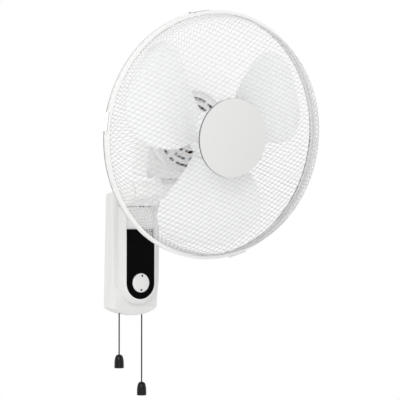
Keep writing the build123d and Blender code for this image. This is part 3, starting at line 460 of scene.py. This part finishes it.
for node, body, slot in (
        ("neck_bracket", "base", "white_plastic"), ("control_panel", "base", "panel_black"),
        ("speed_dial", "dial", "dial_white"), ("tilt_knuckle", "tilt_arm", "arm_plastic"),
        ("motor_housing_rear", "head", "white_plastic"),
        ("motor_housing_front", "head", "white_plastic"), ("rim_hoop", "head", "white_plastic"),
        ("centre_disc", "head", "disc_plastic"),
        ("impeller", "impeller_set", "impeller_plastic"),
        ("guard_lock_nut", "head", "white_plastic"),
        ("front_guard_rings", "head", "guard_wire"), ("rear_guard_rings", "head", "guard_wire")):
    eased(node, body)


# ---- guards --------------------------------------------------------------------------------
def new_tree(name, inputs):
    """Geometry node tree with a geometry input, named inputs and a geometry output.

    An input has a kind of socket and its value, or None where each use gives its own.
    """
    tree = bpy.data.node_groups.new(name, "GeometryNodeTree")
    tree.interface.new_socket("Geometry", in_out="INPUT", socket_type="NodeSocketGeometry")
    for label, (kind, value) in inputs.items():
        socket = tree.interface.new_socket(label, in_out="INPUT", socket_type=kind)
        if value is not None:
            socket.default_value = value
    tree.interface.new_socket("Geometry", in_out="OUTPUT", socket_type="NodeSocketGeometry")
    return tree


def seat_and_finish(tree, geometry, material):
    """Ends a tree: turns its shape onto the fan's axle, makes it real and paints it."""
    seated = add_node(tree, "GeometryNodeTransform", {"Geometry": geometry,
                      "Rotation": (math.radians(90 + TILT_REST), 0, 0),
                      "Translation": HOOP_CENTRE})
    real = add_node(tree, "GeometryNodeRealizeInstances", {"Geometry": seated.outputs[0]})
    painted = add_node(tree, "GeometryNodeSetMaterial", {"Geometry": real.outputs[0],
                       "Material": material})
    add_node(tree, "NodeGroupOutput", {"Geometry": painted.outputs[0]})


def grown(name, tree, values, base_mesh, body):
    """Plain mesh grown by a node tree with some of its inputs set, riding on a body."""
    grower = bpy.data.objects.new(name + "_base", base_mesh)
    bpy.context.collection.objects.link(grower)
    modifier = grower.modifiers.new("grow", "NODES")
    modifier.node_group = tree
    for socket in tree.interface.items_tree:
        if socket.in_out == "INPUT" and socket.name in values:
            modifier[socket.identifier] = values[socket.name]
    bpy.context.view_layer.update()
    evaluated = grower.evaluated_get(bpy.context.evaluated_depsgraph_get())
    mesh = bpy.data.meshes.new_from_object(evaluated)
    mesh.name = name
    grower.modifiers.clear()
    bpy.data.objects.remove(grower)
    mesh.materials.clear()
    mesh.materials.append(values["Material"])
    mesh.shade_smooth()
    piece = bpy.data.objects.new(name, mesh)
    bpy.context.collection.objects.link(piece)
    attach(piece, body)
    return piece


def net_tree():
    """Straight parallel wires, pressed over the dome and bent back down the side wall.

    A wire's flat distance from the centre gives its station: a shallow dome up to the wall's
    radius, and past it a straight fall towards the rim.
    """
    tree = new_tree("guard_net", {
        "Pitch": ("NodeSocketFloat", None), "Lean": ("NodeSocketFloat", None),
        "Wire Radius": ("NodeSocketFloat", NET_WIRE_RADIUS * MM),
        "Lift": ("NodeSocketFloat", None),
        "Inner Radius": ("NodeSocketFloat", RING_RADIUS * MM),
        "Wall Radius": ("NodeSocketFloat", WALL_RADIUS * MM),
        "Wires": ("NodeSocketInt", NET_WIRES), "Steps": ("NodeSocketInt", NET_STEPS),
        "Material": ("NodeSocketMaterial", None)})
    given = add_node(tree, "NodeGroupInput").outputs

    # the flat layer: one stepped wire, laid beside itself and turned
    step = add_node(tree, "ShaderNodeMath", {0: 2 * NET_REACH * MM, 1: given["Steps"]},
                    operation="DIVIDE").outputs[0]
    step_vector = add_node(tree, "ShaderNodeCombineXYZ", {0: step}).outputs[0]
    points = add_node(tree, "ShaderNodeMath", {0: given["Steps"], 1: 1.0},
                      operation="ADD").outputs[0]
    wire = add_node(tree, "GeometryNodeMeshLine", {"Count": points,
                    "Start Location": (-NET_REACH * MM, 0, 0), "Offset": step_vector})
    half = add_node(tree, "ShaderNodeMath", {0: given["Wires"], 1: -1.0, 2: 1.0},
                    operation="MULTIPLY_ADD").outputs[0]
    first = add_node(tree, "ShaderNodeMath", {0: half, 1: given["Pitch"]},
                     operation="MULTIPLY").outputs[0]
    first = add_node(tree, "ShaderNodeMath", {0: first, 1: 0.5}, operation="MULTIPLY").outputs[0]
    rows = add_node(tree, "GeometryNodeMeshLine", {
        "Count": given["Wires"],
        "Start Location": add_node(tree, "ShaderNodeCombineXYZ", {1: first}).outputs[0],
        "Offset": add_node(tree, "ShaderNodeCombineXYZ", {1: given["Pitch"]}).outputs[0]})
    laid = add_node(tree, "GeometryNodeInstanceOnPoints", {"Points": rows.outputs[0],
                    "Instance": wire.outputs[0]})
    flat = add_node(tree, "GeometryNodeRealizeInstances", {"Geometry": laid.outputs[0]})
    lean = add_node(tree, "ShaderNodeCombineXYZ", {2: given["Lean"]}).outputs[0]
    turned = add_node(tree, "GeometryNodeTransform", {"Geometry": flat.outputs[0],
                      "Rotation": lean})

    # what lies within the centre ring or past the rim goes, but for one step to end on
    spot = add_node(tree, "GeometryNodeInputPosition").outputs[0]
    away = add_node(tree, "ShaderNodeVectorMath", {0: spot}, operation="LENGTH").outputs["Value"]
    inner = add_node(tree, "ShaderNodeMath", {0: given["Inner Radius"], 1: step},
                     operation="SUBTRACT").outputs[0]
    lost_in = add_node(tree, "ShaderNodeMath", {0: away, 1: inner},
                       operation="LESS_THAN").outputs[0]
    fall = (SHOULDER - RIM_STATION) * MM
    outer = add_node(tree, "ShaderNodeMath", {0: given["Wall Radius"], 1: fall},
                     operation="ADD").outputs[0]
    lost_at = add_node(tree, "ShaderNodeMath", {0: outer, 1: step}, operation="ADD").outputs[0]
    lost_out = add_node(tree, "ShaderNodeMath", {0: away, 1: lost_at},
                        operation="GREATER_THAN").outputs[0]
    lost = add_node(tree, "ShaderNodeMath", {0: lost_in, 1: lost_out},
                    operation="MAXIMUM").outputs[0]
    cut = add_node(tree, "GeometryNodeDeleteGeometry", {"Geometry": turned.outputs[0],
                   "Selection": lost}, domain="POINT")

    # dome: from the centre ring's station, falling ever faster towards the shoulder
    spot = add_node(tree, "GeometryNodeInputPosition").outputs[0]
    away = add_node(tree, "ShaderNodeVectorMath", {0: spot}, operation="LENGTH").outputs["Value"]
    held = add_node(tree, "ShaderNodeClamp", {"Value": away, "Min": given["Inner Radius"],
                    "Max": outer}).outputs[0]
    past = add_node(tree, "ShaderNodeMath", {0: held, 1: RING_RADIUS * MM},
                    operation="SUBTRACT").outputs[0]
    bend = add_node(tree, "ShaderNodeMath", {0: past, 1: DOME_CURVE, 2: DOME_SLOPE},
                    operation="MULTIPLY_ADD").outputs[0]
    sunk = add_node(tree, "ShaderNodeMath", {0: past, 1: bend}, operation="MULTIPLY").outputs[0]
    dome = add_node(tree, "ShaderNodeMath", {0: RING_STATION * MM, 1: sunk},
                    operation="SUBTRACT").outputs[0]

    # side wall: past the shoulder a wire falls back to the rim and widens a little
    over = add_node(tree, "ShaderNodeMath", {0: held, 1: given["Wall Radius"]},
                    operation="SUBTRACT").outputs[0]
    wall = add_node(tree, "ShaderNodeMath", {0: SHOULDER * MM, 1: over},
                    operation="SUBTRACT").outputs[0]
    station = add_node(tree, "ShaderNodeMath", {0: dome, 1: wall, 2: BEND_EASE * MM},
                       operation="SMOOTH_MIN").outputs[0]
    station = add_node(tree, "ShaderNodeMath", {0: station, 1: given["Lift"]},
                       operation="ADD").outputs[0]
    flare = add_node(tree, "ShaderNodeMath", {0: over, 1: WALL_FLARE, 2: given["Wall Radius"]},
                     operation="MULTIPLY_ADD").outputs[0]
    radius = add_node(tree, "ShaderNodeMath", {0: held, 1: flare, 2: BEND_EASE * MM},
                      operation="SMOOTH_MIN").outputs[0]
    drawn_in = add_node(tree, "ShaderNodeMath", {0: radius, 1: away},
                        operation="DIVIDE").outputs[0]
    drawn = add_node(tree, "ShaderNodeVectorMath", {0: spot, "Scale": drawn_in},
                     operation="SCALE").outputs[0]
    parts = add_node(tree, "ShaderNodeSeparateXYZ", {0: drawn}).outputs
    pressed = add_node(tree, "ShaderNodeCombineXYZ", {0: parts[0], 1: parts[1],
                       2: station}).outputs[0]
    shaped = add_node(tree, "GeometryNodeSetPosition", {"Geometry": cut.outputs[0],
                      "Position": pressed})
    line = add_node(tree, "GeometryNodeMeshToCurve", {"Mesh": shaped.outputs[0]})
    round_wire = add_node(tree, "GeometryNodeCurvePrimitiveCircle", {"Resolution": 6,
                          "Radius": given["Wire Radius"]})
    drawn_wire = add_node(tree, "GeometryNodeCurveToMesh", {"Curve": line.outputs[0],
                          "Profile Curve": round_wire.outputs[0], "Fill Caps": True})
    seat_and_finish(tree, drawn_wire.outputs[0], given["Material"])
    return tree


net = net_tree()
for name, lean, pitch, lift in NET_LAYERS:
    wires = grown(name, net, {"Pitch": pitch * MM, "Lean": math.radians(lean),
                              "Lift": lift * MM, "Material": net_coat},
                  bpy.data.meshes.new(name + "_none"), "head")
    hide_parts("front_guard_wires")


def spoke_tree():
    """One bent wire repeated round the axle."""
    tree = new_tree("guard_spokes", {
        "Wires": ("NodeSocketInt", REAR_WIRES),
        "Wire Radius": ("NodeSocketFloat", REAR_WIRE_RADIUS * MM),
        "Bend Radius": ("NodeSocketFloat", REAR_BEND * MM),
        "Material": ("NodeSocketMaterial", None)})
    given = add_node(tree, "NodeGroupInput").outputs
    line = add_node(tree, "GeometryNodeMeshToCurve", {"Mesh": given["Geometry"]})
    bent = add_node(tree, "GeometryNodeFilletCurve", {"Curve": line.outputs[0], "Count": 5,
                    "Radius": given["Bend Radius"]}, mode="POLY")
    round_wire = add_node(tree, "GeometryNodeCurvePrimitiveCircle", {"Resolution": 6,
                          "Radius": given["Wire Radius"]})
    wire = add_node(tree, "GeometryNodeCurveToMesh", {"Curve": bent.outputs[0],
                    "Profile Curve": round_wire.outputs[0], "Fill Caps": True})
    spots = add_node(tree, "GeometryNodeMeshLine", {"Count": given["Wires"],
                     "Offset": (0, 0, 0)})
    index = add_node(tree, "GeometryNodeInputIndex").outputs[0]
    turns = add_node(tree, "ShaderNodeMath", {0: index, 1: given["Wires"]},
                     operation="DIVIDE").outputs[0]
    angle = add_node(tree, "ShaderNodeMath", {0: turns, 1: 2 * math.pi},
                     operation="MULTIPLY").outputs[0]
    spin = add_node(tree, "ShaderNodeCombineXYZ", {2: angle}).outputs[0]
    ring = add_node(tree, "GeometryNodeInstanceOnPoints", {"Points": spots.outputs[0],
                    "Instance": wire.outputs[0], "Rotation": spin})
    seat_and_finish(tree, ring.outputs[0], given["Material"])
    return tree


spoke_mesh = bpy.data.meshes.new("rear_wire_path")
spoke_mesh.from_pydata([(radius * MM, 0, station * MM) for station, radius in REAR_PATH],
                       [(k, k + 1) for k in range(len(REAR_PATH) - 1)], [])
spokes = grown("rear_guard_spokes", spoke_tree(), {"Material": powder_coat}, spoke_mesh,
               "head")
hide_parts("rear_guard_wires")


# ---- studio --------------------------------------------------------------------------------
def soft_lamp(name, place, aim, size, power):
    """Round soft lamp at a place, turned towards what it lights."""
    data = bpy.data.lights.new(name, "AREA")
    data.shape = "DISK"
    data.size = size
    data.energy = power
    lamp = bpy.data.objects.new(name, data)
    lamp.location = place
    lamp.rotation_euler = (Vector(aim) - Vector(place)).to_track_quat("-Z", "Y").to_euler()
    bpy.context.collection.objects.link(lamp)


# places and sizes in metres, powers in watts
soft_lamp("key_lamp", (-2.2, -2.4, 1.3), (0, -0.25, 0.15), 1.4, 29)
soft_lamp("low_lamp", (-0.9, -2.8, -1.0), (0, -0.2, 0.0), 1.6, 8)
soft_lamp("fill_lamp", (1.8, -3.0, 0.9), (0, -0.25, 0.15), 2.0, 0.6)

# the world lights the fan a little below white, and is plain white where it is seen itself
WORLD_LIGHT, WORLD_SEEN = 0.93, 1.0
world = bpy.data.worlds.new("studio")
bpy.context.scene.world = world
world.use_nodes = True
sky = world.node_tree
sky.nodes.clear()
path = add_node(sky, "ShaderNodeLightPath").outputs
seen = add_node(sky, "ShaderNodeMath", {0: path["Is Camera Ray"], 1: path["Is Glossy Ray"]},
                operation="MAXIMUM").outputs[0]
seen = add_node(sky, "ShaderNodeMath", {0: seen, 1: path["Is Transmission Ray"]},
                operation="MAXIMUM").outputs[0]
strength = add_node(sky, "ShaderNodeMapRange", {"Value": seen, "To Min": WORLD_LIGHT,
                    "To Max": WORLD_SEEN}).outputs[0]
glow = add_node(sky, "ShaderNodeBackground", {"Color": (1, 1, 1, 1), "Strength": strength})
add_node(sky, "ShaderNodeOutputWorld", {"Surface": glow.outputs[0]})

# floor of even matt white paper, well below the cords, in metres
FLOOR_RADIUS, FLOOR_CENTRE = 2.4, (0, -0.2, -0.80)
floor_mesh = bpy.data.meshes.new("floor")
floor_maker = bmesh.new()
bmesh.ops.create_circle(floor_maker, cap_ends=True, segments=96, radius=FLOOR_RADIUS)
bmesh.ops.translate(floor_maker, vec=FLOOR_CENTRE, verts=floor_maker.verts)
floor_maker.to_mesh(floor_mesh)
floor_maker.free()
floor = bpy.data.objects.new("floor", floor_mesh)
bpy.context.collection.objects.link(floor)
floor_mesh.materials.append(moulded("matt_white_paper", "F4F4F4", "F2F2F2", 0.9, 2.0, 0.02,
                                    mottle_mm=300))

bpy.context.scene.view_settings.view_transform = "Standard"
